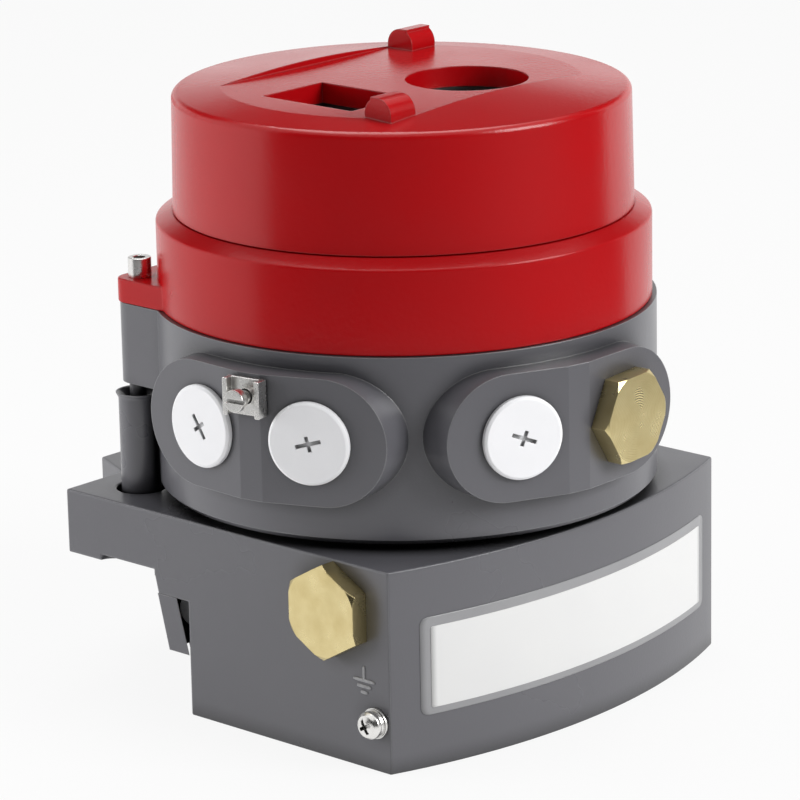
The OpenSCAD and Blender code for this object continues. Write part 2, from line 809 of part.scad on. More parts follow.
module shaft_bush() {
    color(bronze) difference() {
        union() {
            translate([0, 0, 0.2]) cylinder(r = bush_r, h = pocket_z - 0.2);
            translate([0, 0, pocket_z]) cylinder(r = bush_flange_r, h = bush_flange_t);
        }
        translate([0, 0, -past]) cylinder(r = shaft_r + shaft_clear, h = wing_t + past);
        translate([0, 0, pocket_z / 2]) torus(shaft_seal_mid_r, seal_ring_r);
    }
}

module shaft_seal() {
    color(black_rubber) translate([0, 0, pocket_z / 2])
        torus(shaft_seal_mid_r, seal_ring_r - seal_slack);
}

module feedback_shaft() {
    tip = 0.6;
    color(nickel) rotate_extrude() polygon([
        [0, -shaft_free], [shaft_r - tip, -shaft_free], [shaft_r, tip - shaft_free],
        [shaft_r, -clip_z - clip_t], [shaft_r - clip_depth, -clip_z - clip_t],
        [shaft_r - clip_depth, -clip_z], [shaft_r, -clip_z], [shaft_r, holder_z + holder_h - magnet_t],
        [0, holder_z + holder_h - magnet_t]]);
}

module shaft_circlip() {
    color(nickel) translate([0, 0, -clip_z - clip_t]) difference() {
        ring(clip_r, shaft_r - clip_depth + seat_clear, clip_t);
        translate([0, -1.6, -past]) cube([clip_r + past, 3.2, clip_t + 2 * past]);
    }
}

module magnet_holder() {
    color(dark_plastic) translate([0, 0, holder_z]) difference() {
        cylinder(r = magnet_holder_r, h = holder_h);
        translate([0, 0, -past]) cylinder(r = shaft_r, h = holder_h + 2 * past);
        translate([0, 0, holder_h - magnet_t]) cylinder(r = magnet_r, h = magnet_t + past);
    }
}

module shaft_magnet() {
    color(nickel) translate([0, 0, holder_z + holder_h - magnet_t]) cylinder(r = magnet_r, h = magnet_t);
}

module position_sensor() {
    sensor = [18, 12];
    color(board_green) translate([-sensor[0] / 2, -sensor[1] / 2, body_floor])
        cube([sensor[0], sensor[1], board_t]);
    color(dark_plastic) translate([-3, -3, body_floor + board_t]) cube([6, 6, 1.4]);
}

// Places the children on the spool's axis, with +Z pointing to the right-hand end
module on_spool(x) {
    at_body() translate([x, -spool_y, -spool_z]) rotate([0, 90, 0]) children();
}

module spool_sleeve() {
    port_w = 5;
    mid = spool_rest_x - sleeve_x + spool_l / 2;
    color(nickel) on_spool(sleeve_x) difference() {
        ring(sleeve_r, spool_r + spool_clear, sleeve_l);
        for (i = [-1, 0, 1]) translate([0, 0, mid + i * spool_l / 4 - port_w / 2])
            ring(sleeve_r + past, sleeve_r - 1.5, port_w);
    }
}

module spool() {
    land = spool_l / 6;
    waist_r = spool_r - 2;
    color(nickel) on_spool(spool_rest_x) {
        cylinder(r = waist_r, h = spool_l);
        for (i = [0, 1, 2]) translate([0, 0, i * (spool_l - land) / 2]) cylinder(r = spool_r, h = land);
    }
}

module spool_spring() {
    turns = 7;
    color(nickel) on_spool(spool_rest_x + spool_l + 0.3)
        linear_extrude(spool_end_x - spool_rest_x - spool_l - 0.6, twist = -360 * turns, slices = 84, $fn = 8)
            translate([spring_r, 0]) circle(r = wire_r, $fn = 8);
}

module spool_end_cap() {
    color(grey_paint) difference() {
        union() {
            on_spool(spool_end_x) cylinder(r = sleeve_r, h = base_w / 2 - spool_end_x);
            on_spool(base_w / 2) cylinder(r = sleeve_r + 2.5, h = end_cap_head);
        }
        on_spool(base_w / 2 - 4) cylinder(d = 8 / cos(30), h = 4 + end_cap_head + past, $fn = 6);
    }
}

module pilot_valve() {
    color(dark_plastic) at_body()
        translate([-pilot_size[0] / 2, pilot_y - pilot_size[1] / 2, body_floor]) cube(pilot_size);
    color(nickel) at_body()
        translate([0, pilot_y, body_floor + pilot_size[2]]) cylinder(r = pilot_coil_r, h = pilot_coil_h);
}

module pressure_sensors() {
    color(nickel) at_body() for (i = [-1, 0, 1])
        translate([i * cell_pitch, cell_y, body_floor]) {
            cylinder(r = cell_r, h = cell_h);
            translate([0, 0, cell_h]) cylinder(r = cell_neck_r, h = cell_neck_h);
        }
}

// Holes for the stand-off screws, through a plate that starts at z = 0
module standoff_holes(h) {
    for (a = standoff_angles) rotate(a) translate([standoff_pcd_r, 0, -past])
        cylinder(r = standoff_hole_r + seat_clear, h = h + 2 * past);
}

module chassis() {
    leg_r = 4;
    leg_pcd_r = 40;
    centre_hole_r = 14;
    color(nickel) at_body() {
        translate([0, 0, chassis_z]) difference() {
            cylinder(r = board_r, h = chassis_t);
            standoff_holes(chassis_t);
            translate([0, 0, -past]) cylinder(r = centre_hole_r, h = chassis_t + 2 * past);
        }
        for (a = [0, 120, 240]) rotate(a) translate([leg_pcd_r, 0, body_floor])
            cylinder(r = leg_r, h = chassis_h + chassis_t / 2);
    }
}

module board_standoffs() {
    color(nickel) at_body() for (a = standoff_angles) rotate(a) translate([standoff_pcd_r, 0, 0]) {
        translate([0, 0, chassis_z]) cylinder(r = standoff_hole_r, h = panel_z - chassis_z);
        translate([0, 0, chassis_z + chassis_t]) cylinder(r = standoff_r, h = main_board_h);
        translate([0, 0, main_board_z + board_t]) cylinder(r = standoff_r, h = interface_h);
        translate([0, 0, interface_z + board_t]) cylinder(r = standoff_r, h = panel_h);
    }
}

// Places the children at the middle of each terminal on the block
module at_terminals() {
    at_body() rotate(45) for (i = [0:terminal_count - 1])
        translate([-terminal_row_r, (i - (terminal_count - 1) / 2) * terminal_pitch, chassis_z + chassis_t])
            children();
}

module terminal_block() {
    row_l = terminal_count * terminal_pitch;
    color(board_green) difference() {
        at_body() rotate(45) translate([-terminal_row_r - terminal_w / 2, -row_l / 2, chassis_z + chassis_t])
            cube([terminal_w, row_l, terminal_h]);
        at_terminals() translate([0, 0, terminal_h - terminal_well])
            cylinder(r = terminal_screw_r + 2 * seat_clear, h = terminal_well + past);
        at_terminals() translate([-terminal_w / 2 - past, -wire_entry / 2, wire_entry / 2])
            cube([wire_entry + past, wire_entry, wire_entry]);
    }
}

module terminal_screws() {
    head_h = 3;
    slot_w = 0.7;
    color(nickel) at_terminals() translate([0, 0, terminal_h - terminal_well]) difference() {
        cylinder(r = terminal_screw_r, h = head_h);
        translate([-terminal_screw_r - past, -slot_w / 2, head_h * 0.65])
            cube([2 * (terminal_screw_r + past), slot_w, head_h]);
    }
}

// A round board with stand-off holes
module round_board(z) {
    at_body() translate([0, 0, z]) difference() {
        cylinder(r = board_r, h = board_t);
        standoff_holes(board_t);
    }
}

module main_board() {
    color(board_green) round_board(main_board_z);
    color(dark_plastic) at_body() translate([0, 0, main_board_z + board_t]) {
        translate(processor_at) cube(processor);
        translate(converter_at) cube(converter);
        for (i = [0:2]) translate(capacitor_at + [i * capacitor_pitch, 0])
            cylinder(r = capacitor_r, h = capacitor_h);
    }
}

module interface_board() {
    color(board_green) round_board(interface_z);
}

// Places the children at one button of the keypad
module at_button(i) {
    at_body() translate([round_pos[0], round_pos[1], 0])
        rotate(90 - 90 * i) translate([button_pitch, 0, 0]) children();
}

module keypad_mat() {
    half = button_pitch + button_flange_r + 1;
    color(dark_plastic) {
        at_body() translate([round_pos[0] - half, round_pos[1] - half, interface_z + board_t])
            cube([2 * half, 2 * half, mat_t]);
        for (i = [0:3]) at_button(i) translate([0, 0, interface_z + board_t + mat_t])
            cylinder(r1 = button_r, r2 = button_r - 1, h = dome_h);
    }
}

module keypad_panel() {
    color(dark_plastic) difference() {
        at_body() translate([0, 0, panel_z]) difference() {
            cylinder(r = board_r, h = panel_t);
            standoff_holes(panel_t);
        }
        for (i = [0:3]) at_button(i) translate([0, 0, panel_z - past])
            cylinder(r = button_r + button_clear, h = panel_t + 2 * past);
    }
}

module panel_screws() {
    color(nickel) at_body() for (a = standoff_angles)
        rotate(a) translate([standoff_pcd_r, 0, panel_top])
            slotted_screw(2.8, 1.8, standoff_hole_r, panel_t, 0.7);
}

module display_module() {
    frame_half = rect_half + [2, 2];
    color(dark_plastic) at_body() translate([window_pos[0], window_pos[1], panel_top]) difference() {
        translate([-frame_half[0], -frame_half[1], 0])
            cube([2 * frame_half[0], 2 * frame_half[1], display_h]);
        translate([-window_w / 2, -window_l / 2, display_h - 0.8]) cube([window_w, window_l, 0.8 + past]);
    }
}

// One key: a flange under the panel and a round stem through it
module button(i) {
    color(white_plastic) at_button(i) {
        translate([0, 0, button_flange_z]) cylinder(r = button_flange_r, h = button_flange_t);
        translate([0, 0, button_flange_z])
            cylinder(r = button_r, h = panel_top + button_proud - button_flange_z);
    }
}

module button_up() { button(0); }
module button_enter() { button(1); }
module button_down() { button(2); }
module button_cancel() { button(3); }

module cover_o_ring() {
    color(black_rubber) at_body() translate([0, 0, seal_z]) torus(seal_mid_r, seal_r);
}

// One turning lug at the end of a channel wall: flat inside, rounded outside
module turning_lug() {
    tall = channel_z + lug_h - ceiling_z;
    translate([lug_x - lug_l / 2, 0, 0]) rotate([90, 0, 90]) linear_extrude(lug_l) {
        translate([channel_half - lug_w, ceiling_z]) square([lug_w, tall - lug_round]);
        translate([channel_half - lug_w, ceiling_z]) square([lug_w - lug_round, tall]);
        translate([channel_half - lug_round, channel_z + lug_h - lug_round]) circle(r = lug_round);
    }
}

// Half section of the cover, with a rounded rim and a sloping top
module cover_section() {
    rim_in = cover_rim_r - rim_round;
    difference() {
        union() {
            polygon([
                [0, skirt_z], [skirt_r, skirt_z], [skirt_r, cover_z], [cover_foot_r, cover_z],
                [cover_rim_r, cover_rim_z - rim_round], [rim_in, cover_rim_z],
                [0, cover_rim_z + top_slope * rim_in]]);
            intersection() {
                translate([rim_in, cover_rim_z - rim_round]) circle(r = rim_round);
                translate([rim_in, cover_rim_z - rim_round]) square(rim_round + past);
            }
        }
        translate([0, skirt_z - past]) square([cover_in_r - 2, ceiling_z - skirt_z + past]);
    }
}

module cover() {
    color(red_paint) at_body() difference() {
        union() {
            difference() {
                rotate_extrude() cover_section();
                translate([-cover_foot_r, -channel_half, channel_z])
                    cube([2 * cover_foot_r, 2 * channel_half, cover_h]);
            }
            for (a = [0, 180]) rotate(a) turning_lug();
            for (p = retainer_screws_at) translate([p[0], p[1], glass_z])
                cylinder(r = window_boss_r, h = ceiling_z - glass_z + past);
        }
        translate([window_pos[0] - window_w / 2, window_pos[1] - window_l / 2, ceiling_z - past])
            cube([window_w, window_l, top_t + 2 * past]);
        translate([round_pos[0], round_pos[1], ceiling_z - past])
            cylinder(r = round_r, h = top_t + 2 * past);
        for (p = retainer_screws_at) translate([p[0], p[1], glass_z - past])
            cylinder(r = retainer_screw_r + seat_clear, h = retainer_hole_d + past);
        translate([0, 0, seal_z]) groove();
    }
}

// Ring cut for the cover's seal
module groove() {
    translate([0, 0, -seal_r - 0.2]) ring(skirt_r + past, seal_mid_r - seal_r - 0.1, 2 * seal_r + 0.4);
}

module display_window() {
    color([0.75, 0.82, 0.82, 0.4]) at_body() translate([window_pos[0], window_pos[1], glass_z])
        translate([-rect_half[0], -rect_half[1], 0])
            cube([2 * rect_half[0], 2 * rect_half[1], glass_t]);
}

module round_window() {
    color([0.75, 0.82, 0.82, 0.4]) at_body() translate([round_pos[0], round_pos[1], glass_z])
        cylinder(r = round_glass_r, h = glass_t);
}

module window_gaskets() {
    color(black_rubber) at_body() translate([0, 0, glass_z + glass_t]) {
        translate([window_pos[0], window_pos[1], 0]) difference() {
            translate([-rect_half[0], -rect_half[1], 0])
                cube([2 * rect_half[0], 2 * rect_half[1], glass_gasket_t]);
            translate([-window_w / 2 - 0.3, -window_l / 2 - 0.3, -past])
                cube([window_w + 0.6, window_l + 0.6, glass_gasket_t + 2 * past]);
        }
        translate([round_pos[0], round_pos[1], 0]) ring(round_glass_r, round_r + 0.3, glass_gasket_t);
    }
}

module window_retainer() {
    frame = rect_half + [retainer_border, retainer_border];
    color(nickel) at_body() translate([0, 0, retainer_z]) difference() {
        linear_extrude(retainer_t) difference() {
            union() {
                translate([window_pos[0], window_pos[1]]) {
                    square([2 * rect_half[0], 2 * frame[1]], center = true);
                    square([2 * frame[0], 2 * rect_half[1] - retainer_notch], center = true);
                }
                translate(round_pos) circle(r = round_glass_r + retainer_border);
            }
            translate(window_pos) square([window_w + 2, window_l + 2], center = true);
            translate(round_pos) circle(r = round_r + 1);
        }
        for (p = retainer_screws_at) translate([p[0], p[1], -past])
            cylinder(r = retainer_screw_r + screw_clear, h = retainer_t + 2 * past);
    }
}

module retainer_screws() {
    color(nickel) at_body() for (p = retainer_screws_at)
        translate([p[0], p[1], retainer_z]) rotate([180, 0, 0])
            slotted_screw(retainer_head_r, retainer_head_h, retainer_screw_r,
                retainer_t + retainer_grip, retainer_slot_w);
}

base_block();
base_gasket();
body_housing();
body_screws();
collar_ring();
collar_o_ring();
collar_screws();
support_posts();
conduit_caps();
conduit_plug();
port_plug();
rear_port_plug();
rear_plug_ring();
earth_clamp();
earth_screw();
ground_screw();
ground_washers();
shaft_bush();
shaft_seal();
feedback_shaft();
shaft_circlip();
magnet_holder();
shaft_magnet();
position_sensor();
spool_sleeve();
spool();
spool_spring();
spool_end_cap();
pilot_valve();
pressure_sensors();
chassis();
board_standoffs();
terminal_block();
terminal_screws();
main_board();
interface_board();
keypad_mat();
keypad_panel();
panel_screws();
display_module();
button_up();
button_down();
button_enter();
button_cancel();
cover_o_ring();
cover();
display_window();
round_window();
window_gaskets();
window_retainer();
retainer_screws();
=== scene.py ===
# Valve positioner: finishes, small trim, floor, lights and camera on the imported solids.
# Sections follow the order in which the real one is put together, from the base block upwards.
import json
import math

import bpy
import numpy as np
from mathutils import Matrix, Vector


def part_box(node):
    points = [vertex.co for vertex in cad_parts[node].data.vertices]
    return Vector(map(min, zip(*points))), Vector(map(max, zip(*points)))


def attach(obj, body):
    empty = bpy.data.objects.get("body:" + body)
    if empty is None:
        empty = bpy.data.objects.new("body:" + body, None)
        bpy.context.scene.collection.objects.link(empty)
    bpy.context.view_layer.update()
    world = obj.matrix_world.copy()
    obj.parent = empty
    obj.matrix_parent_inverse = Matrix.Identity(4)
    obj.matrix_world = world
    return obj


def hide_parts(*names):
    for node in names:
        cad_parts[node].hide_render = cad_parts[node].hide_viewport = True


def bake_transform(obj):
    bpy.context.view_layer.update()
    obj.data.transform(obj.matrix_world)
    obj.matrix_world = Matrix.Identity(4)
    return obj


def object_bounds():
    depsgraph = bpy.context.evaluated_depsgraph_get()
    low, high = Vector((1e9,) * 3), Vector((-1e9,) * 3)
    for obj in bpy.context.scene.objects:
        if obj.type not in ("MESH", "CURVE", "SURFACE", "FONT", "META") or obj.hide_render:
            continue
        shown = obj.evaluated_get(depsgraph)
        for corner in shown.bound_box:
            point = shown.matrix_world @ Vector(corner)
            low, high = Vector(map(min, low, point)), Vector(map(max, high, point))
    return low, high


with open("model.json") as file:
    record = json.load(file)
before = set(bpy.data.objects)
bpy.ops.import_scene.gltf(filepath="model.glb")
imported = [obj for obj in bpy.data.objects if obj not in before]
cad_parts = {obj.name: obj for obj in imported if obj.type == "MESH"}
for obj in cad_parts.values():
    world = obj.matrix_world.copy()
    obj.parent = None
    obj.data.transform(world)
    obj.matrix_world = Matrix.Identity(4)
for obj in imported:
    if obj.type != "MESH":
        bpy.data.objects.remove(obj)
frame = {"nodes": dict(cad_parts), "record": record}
cad_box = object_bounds()


# Base block
# The heavy pneumatic block with its wing and tongue, an aluminium casting under satin grey powder paint.
# It carries everything else; actuator brackets bolt up against the wing's underside.
def add_node(tree, kind, inputs=None, **settings):
    """One shader node: settings are its own choices, inputs are values or sockets to link from."""
    node = tree.nodes.new(kind)
    for key, value in settings.items():
        setattr(node, key, value)
    for socket, value in (inputs or {}).items():
        if isinstance(value, bpy.types.NodeSocket):
            tree.links.new(value, node.inputs[socket])
        else:
            node.inputs[socket].default_value = value
    return node


def new_effect(name, inputs, outputs):
    """An empty node group with named sockets, given back with its entry and its exit node."""
    group = bpy.data.node_groups.new(name, "ShaderNodeTree")
    for socket, (kind, value) in inputs.items():
        made = group.interface.new_socket(socket, in_out="INPUT", socket_type=kind)
        made.default_value = value
    for socket, kind in outputs.items():
        group.interface.new_socket(socket, in_out="OUTPUT", socket_type=kind)
    return group, group.nodes.new("NodeGroupInput"), group.nodes.new("NodeGroupOutput")


def make_grain_effect():
    """Cloudy patches between two shades that also shift the gloss, with a fine grain as height."""
    group, entry, leave = new_effect(
        "surface_grain",
        {"Colour": ("NodeSocketColor", (0.5, 0.5, 0.5, 1.0)),
         "Second Colour": ("NodeSocketColor", (0.4, 0.4, 0.4, 1.0)),
         "Patch Scale": ("NodeSocketFloat", 24.0), "Patch Contrast": ("NodeSocketFloat", 1.0),
         "Gloss Loss": ("NodeSocketFloat", 0.4), "Gloss Spread": ("NodeSocketFloat", 0.15),
         "Grain Scale": ("NodeSocketFloat", 1100.0), "Stretch": ("NodeSocketVector", (1.0, 1.0, 1.0))},
        {"Colour": "NodeSocketColor", "Roughness": "NodeSocketFloat", "Height": "NodeSocketFloat"})
    place = add_node(group, "ShaderNodeTexCoord").outputs["Object"]
    drawn = add_node(group, "ShaderNodeVectorMath", {0: place, 1: entry.outputs["Stretch"]},
                     operation="MULTIPLY").outputs[0]
    cloud = add_node(group, "ShaderNodeTexNoise",
                     {"Vector": drawn, "Scale": entry.outputs["Patch Scale"], "Detail": 4.0})
    grain = add_node(group, "ShaderNodeTexNoise",
                     {"Vector": drawn, "Scale": entry.outputs["Grain Scale"], "Detail": 2.0})
    centred = add_node(group, "ShaderNodeMath", {0: cloud.outputs["Fac"], 1: 0.5},
                       operation="SUBTRACT").outputs[0]
    share = add_node(group, "ShaderNodeMath",
                     {0: centred, 1: entry.outputs["Patch Contrast"], 2: 0.5},
                     operation="MULTIPLY_ADD", use_clamp=True)
    shade = add_node(group, "ShaderNodeMix",
                     {"Factor": share.outputs[0], 6: entry.outputs["Colour"],
                      7: entry.outputs["Second Colour"]}, data_type="RGBA")
    dull = add_node(group, "ShaderNodeMath",
                    {0: centred, 1: entry.outputs["Gloss Spread"], 2: entry.outputs["Gloss Loss"]},
                    operation="MULTIPLY_ADD", use_clamp=True)
    group.links.new(shade.outputs[2], leave.inputs["Colour"])
    group.links.new(dull.outputs[0], leave.inputs["Roughness"])
    group.links.new(grain.outputs["Fac"], leave.inputs["Height"])
    return group


def make_edge_effect():
    """Softened edges: a normal averaged over a small radius, and a mask of how far it turned."""
    group, entry, leave = new_effect(
        "soft_edge", {"Radius": ("NodeSocketFloat", 0.0005)},
        {"Normal": "NodeSocketVector", "Edge": "NodeSocketFloat"})
    turned = add_node(group, "ShaderNodeBevel", {"Radius": entry.outputs["Radius"]}, samples=4)
    face = add_node(group, "ShaderNodeNewGeometry")
    agree = add_node(group, "ShaderNodeVectorMath",
                     {0: turned.outputs["Normal"], 1: face.outputs["Normal"]}, operation="DOT_PRODUCT")
    mask = add_node(group, "ShaderNodeMapRange",
                    {"Value": agree.outputs["Value"], "From Min": 0.995, "From Max": 0.8})
    group.links.new(turned.outputs["Normal"], leave.inputs["Normal"])
    group.links.new(mask.outputs["Result"], leave.inputs["Edge"])
    return group


def make_recess_effect(name, own_shape_only):
    """Painted shade in slits and corners: a colour darkened where little light gets in.

    Either the piece's own recesses count, or its neighbours standing close by as well.
    """
    group, entry, leave = new_effect(
        name,
        {"Colour": ("NodeSocketColor", (0.5, 0.5, 0.5, 1.0)), "Dark": ("NodeSocketFloat", 0.5),
         "Reach": ("NodeSocketFloat", 0.002)},
        {"Colour": "NodeSocketColor"})
    open_sky = add_node(group, "ShaderNodeAmbientOcclusion", {"Distance": entry.outputs["Reach"]},
                        samples=6, only_local=own_shape_only)
    closed = add_node(group, "ShaderNodeMath", {0: 1.0, 1: open_sky.outputs["AO"]}, operation="SUBTRACT")
    share = add_node(group, "ShaderNodeMath", {0: closed.outputs[0], 1: entry.outputs["Dark"]},
                     operation="MULTIPLY", use_clamp=True)
    shade = add_node(group, "ShaderNodeMix",
                     {"Factor": share.outputs[0], 6: entry.outputs["Colour"], 7: (0.0, 0.0, 0.0, 1.0)},
                     data_type="RGBA")
    group.links.new(shade.outputs[2], leave.inputs["Colour"])
    return group


grain_effect = make_grain_effect()
edge_effect = make_edge_effect()
# Painted shade: colour darkened towards black where the piece's own shape, or for contact_shade also its
# neighbours, close in.
recess_effect = make_recess_effect("recess_shade", True)
contact_effect = make_recess_effect("contact_shade", False)


def finish(name, colour, second, patch_scale=24.0, contrast=1.0, gloss_loss=0.4, gloss_spread=0.15,
           grain_scale=1100.0, depth=0.00003, stretch=(1.0, 1.0, 1.0), edge_radius=0.0, edge_light=0.0,
           recess_dark=0.0, recess_reach=0.002, shade_effect=recess_effect, **sockets):
    """A material of grain, soft edges with a painted highlight and recesses with painted shade,
    round one Principled shader.

    Two shades of colour lie in patches; depth is the grain's height in metres; edge_light is how much
    the painted highlight lightens edges, and shade_effect says which painted shade darkens recesses.
    Other words name shader sockets that are the same all over.
    """
    material = bpy.data.materials.new(name)
    material.use_nodes = True
    tree = material.node_tree
    shader = tree.nodes["Principled BSDF"]
    for socket, value in sockets.items():
        shader.inputs[socket.replace("_", " ")].default_value = value
    skin = add_node(tree, "ShaderNodeGroup", node_tree=grain_effect)
    skin.inputs["Colour"].default_value = (*colour, 1.0)
    skin.inputs["Second Colour"].default_value = (*second, 1.0)
    skin.inputs["Patch Scale"].default_value = patch_scale
    skin.inputs["Patch Contrast"].default_value = contrast
    skin.inputs["Gloss Loss"].default_value = gloss_loss
    skin.inputs["Gloss Spread"].default_value = gloss_spread
    skin.inputs["Grain Scale"].default_value = grain_scale
    skin.inputs["Stretch"].default_value = stretch
    shown = skin.outputs["Colour"]
    bump = add_node(tree, "ShaderNodeBump", {"Height": skin.outputs["Height"], "Distance": depth})
    if edge_radius > 0.0:
        rim = add_node(tree, "ShaderNodeGroup", node_tree=edge_effect)
        rim.inputs["Radius"].default_value = edge_radius
        # Painted highlight: the edge mask times edge_light mixes the colour towards a pale grey along edges.
        painted_highlight_share = add_node(tree, "ShaderNodeMath", {0: rim.outputs["Edge"], 1: edge_light},
                        operation="MULTIPLY", use_clamp=True)
        lit = add_node(tree, "ShaderNodeMix",
                       {"Factor": painted_highlight_share.outputs[0], 6: shown, 7: (0.6, 0.6, 0.6, 1.0)}, data_type="RGBA")
        shown = lit.outputs[2]
        tree.links.new(rim.outputs["Normal"], bump.inputs["Normal"])
    # Painted shade: the chosen shade effect darkens the colour in recesses, by recess_dark within
    # recess_reach.
    if recess_dark > 0.0:
        painted_shade = add_node(tree, "ShaderNodeGroup", {"Colour": shown}, node_tree=shade_effect)
        painted_shade.inputs["Dark"].default_value = recess_dark
        painted_shade.inputs["Reach"].default_value = recess_reach
        shown = painted_shade.outputs["Colour"]
    tree.links.new(shown, shader.inputs["Base Color"])
    tree.links.new(skin.outputs["Roughness"], shader.inputs["Roughness"])
    tree.links.new(bump.outputs["Normal"], shader.inputs["Normal"])
    return material


def dress(names, material, edge=0.0):
    """Gives solids their finish and, where an edge is given, breaks sharp edges by a round that wide."""
    for name in names:
        solid = frame["nodes"][name]
        for slot in solid.material_slots:
            slot.material = material
        if edge == 0.0:
            continue
        weld = solid.modifiers.new("weld", "WELD")
        weld.merge_threshold = 1e-6
        flat = solid.modifiers.new("flat_faces", "DECIMATE")
        flat.decimate_type = "DISSOLVE"
        flat.angle_limit = math.radians(0.4)
        round_edge = solid.modifiers.new("round_edge", "BEVEL")
        round_edge.width = edge
        round_edge.segments = 2
        round_edge.limit_method = "ANGLE"
        round_edge.angle_limit = math.radians(28)
        round_edge.use_clamp_overlap = False
        normals = solid.modifiers.new("even_normals", "WEIGHTED_NORMAL")
        normals.keep_sharp = True


# Grey paint with a painted highlight along edges and painted shade in recesses and beside neighbouring parts,
# such as the gap under the housing.
grey_paint = finish("grey_paint", (0.118, 0.117, 0.130), (0.102, 0.101, 0.113), patch_scale=18.0,
                    gloss_loss=0.30, gloss_spread=0.18, grain_scale=1300.0, depth=0.00003,
                    edge_radius=0.0005, edge_light=0.45, recess_dark=1.3, recess_reach=0.006,
                    shade_effect=contact_effect, Specular_IOR_Level=0.75)
dress(["base_block"], grey_paint, 0.0006)


# Label plate
# A bare printed-film plate in a grey carrier, stuck to the curved front of the base block.
# Both follow the block's front arc; the white plate stands a little proud of its carrier.
FRONT_RADIUS = 0.203
FRONT_CENTRE_Y = 0.0764


def mesh_piece(name, points, faces):
    """A smooth-shaded object at the origin from an array of points and a list of faces."""
    mesh = bpy.data.meshes.new(name)
    mesh.from_pydata(points.tolist(), [], faces)
    mesh.shade_smooth()
    piece = bpy.data.objects.new(name, mesh)
    bpy.context.scene.collection.objects.link(piece)
    return piece


def grid_piece(name, points):
    """An object from a grid of points (rows, columns, 3), with one quad between each four neighbours."""
    rows, columns = points.shape[:2]
    index = np.arange(rows * columns).reshape(rows, columns)
    quads = np.stack([index[:-1, :-1], index[:-1, 1:], index[1:, 1:], index[1:, :-1]], axis=-1)
    return mesh_piece(name, points.reshape(-1, 3), quads.reshape(-1, 4).tolist())


def curved_plate(name, half_angle, low, high, corner, proud, thickness):
    """A rounded plate on the front arc.

    Rows run up the block and columns along the arc: a row at height z reaches the half length
    s(z) = L - c + sqrt(c^2 - d^2), where d is how far z lies inside a corner of radius c.
    """
    rows = np.concatenate([np.linspace(low, low + corner, 9), np.linspace(high - corner, high, 9)])
    columns = np.linspace(-1.0, 1.0, 61)
    radius = FRONT_RADIUS + proud
    inside = np.maximum(np.abs(rows - (low + high) / 2) - (high - low) / 2 + corner, 0.0)
    reach = half_angle * radius - corner + np.sqrt(np.maximum(corner**2 - inside**2, 0.0))
    angle = reach[:, None] * columns[None, :] / radius
    x = radius * np.sin(angle)
    y = FRONT_CENTRE_Y - radius * np.cos(angle)
    z = np.broadcast_to(rows[:, None], x.shape)
    piece = grid_piece(name, np.stack([x, y, z], axis=-1))
    wall = piece.modifiers.new("thickness", "SOLIDIFY")
    wall.thickness = thickness
    wall.offset = -1.0
    return piece


carrier_film = finish("carrier_film", (0.34, 0.34, 0.35), (0.28, 0.28, 0.29), patch_scale=60.0,
                      gloss_loss=0.30, gloss_spread=0.10, grain_scale=2500.0, depth=0.000005)
label_carrier = curved_plate("label_carrier", half_angle=math.radians(18.6), low=-0.0247, high=0.0048,
                             corner=0.0025, proud=0.00012, thickness=0.0004)
label_carrier.data.materials.append(carrier_film)
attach(label_carrier, "housing")

plate_film = finish("plate_film", (0.80, 0.80, 0.79), (0.76, 0.76, 0.76), patch_scale=45.0,
                    gloss_loss=0.34, gloss_spread=0.10, grain_scale=3000.0, depth=0.000004)
label_plate = curved_plate("label_plate", half_angle=math.radians(17.6), low=-0.0226, high=0.0018,
                           corner=0.0006, proud=0.0003, thickness=0.0004)
label_plate.data.materials.append(plate_film)
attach(label_plate, "housing")


# Earth sign
# A plain earth sign of one stem and three bars over the ground screw, raised in the casting.
# It is paler than the paint round it.
SIGN_FACE_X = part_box("base_block")[0][0]
SIGN_Y = -0.1027
SIGN_Z = -0.0142
SIGN_RISE = 0.00035
BAR_HALF_WIDTH = 0.00055
# Each bar's centre along Y and Z from the sign's centre, and its half length along Y and Z
SIGN_BARS = np.array([
    [0.0, 0.0022, BAR_HALF_WIDTH, 0.0022],
    [0.0, 0.0, 0.0042, BAR_HALF_WIDTH],
    [0.0, -0.0018, 0.0028, BAR_HALF_WIDTH],
    [0.0, -0.0036, 0.0014, BAR_HALF_WIDTH]])


def closed_piece(name, grids):
    """One object from stacked grids (count, rows, columns, 3) that close on themselves.

    Columns run round, so the last joins the first; the first and the last row are single points.
    """
    count, rows, columns = grids.shape[:3]
    inner = grids[:, 1:-1].reshape(count, -1, 3)
    points = np.concatenate([grids[:, :1, 0], inner, grids[:, -1:, 0]], axis=1)
    index = 1 + np.arange((rows - 2) * columns).reshape(rows - 2, columns)
    after = np.roll(index, -1, axis=1)
    quads = np.stack([index[:-1], after[:-1], after[1:], index[1:]], axis=-1).reshape(-1, 4)
    foot = np.stack([np.zeros(columns, int), after[0], index[0]], axis=-1)
    top = np.stack([np.full(columns, points.shape[1] - 1), index[-1], after[-1]], axis=-1)
    starts = np.arange(count)[:, None, None] * points.shape[1]
    faces = (starts + quads).reshape(-1, 4).tolist()
    faces += (starts + np.concatenate([foot, top])).reshape(-1, 3).tolist()
    return mesh_piece(name, points.reshape(-1, 3), faces)


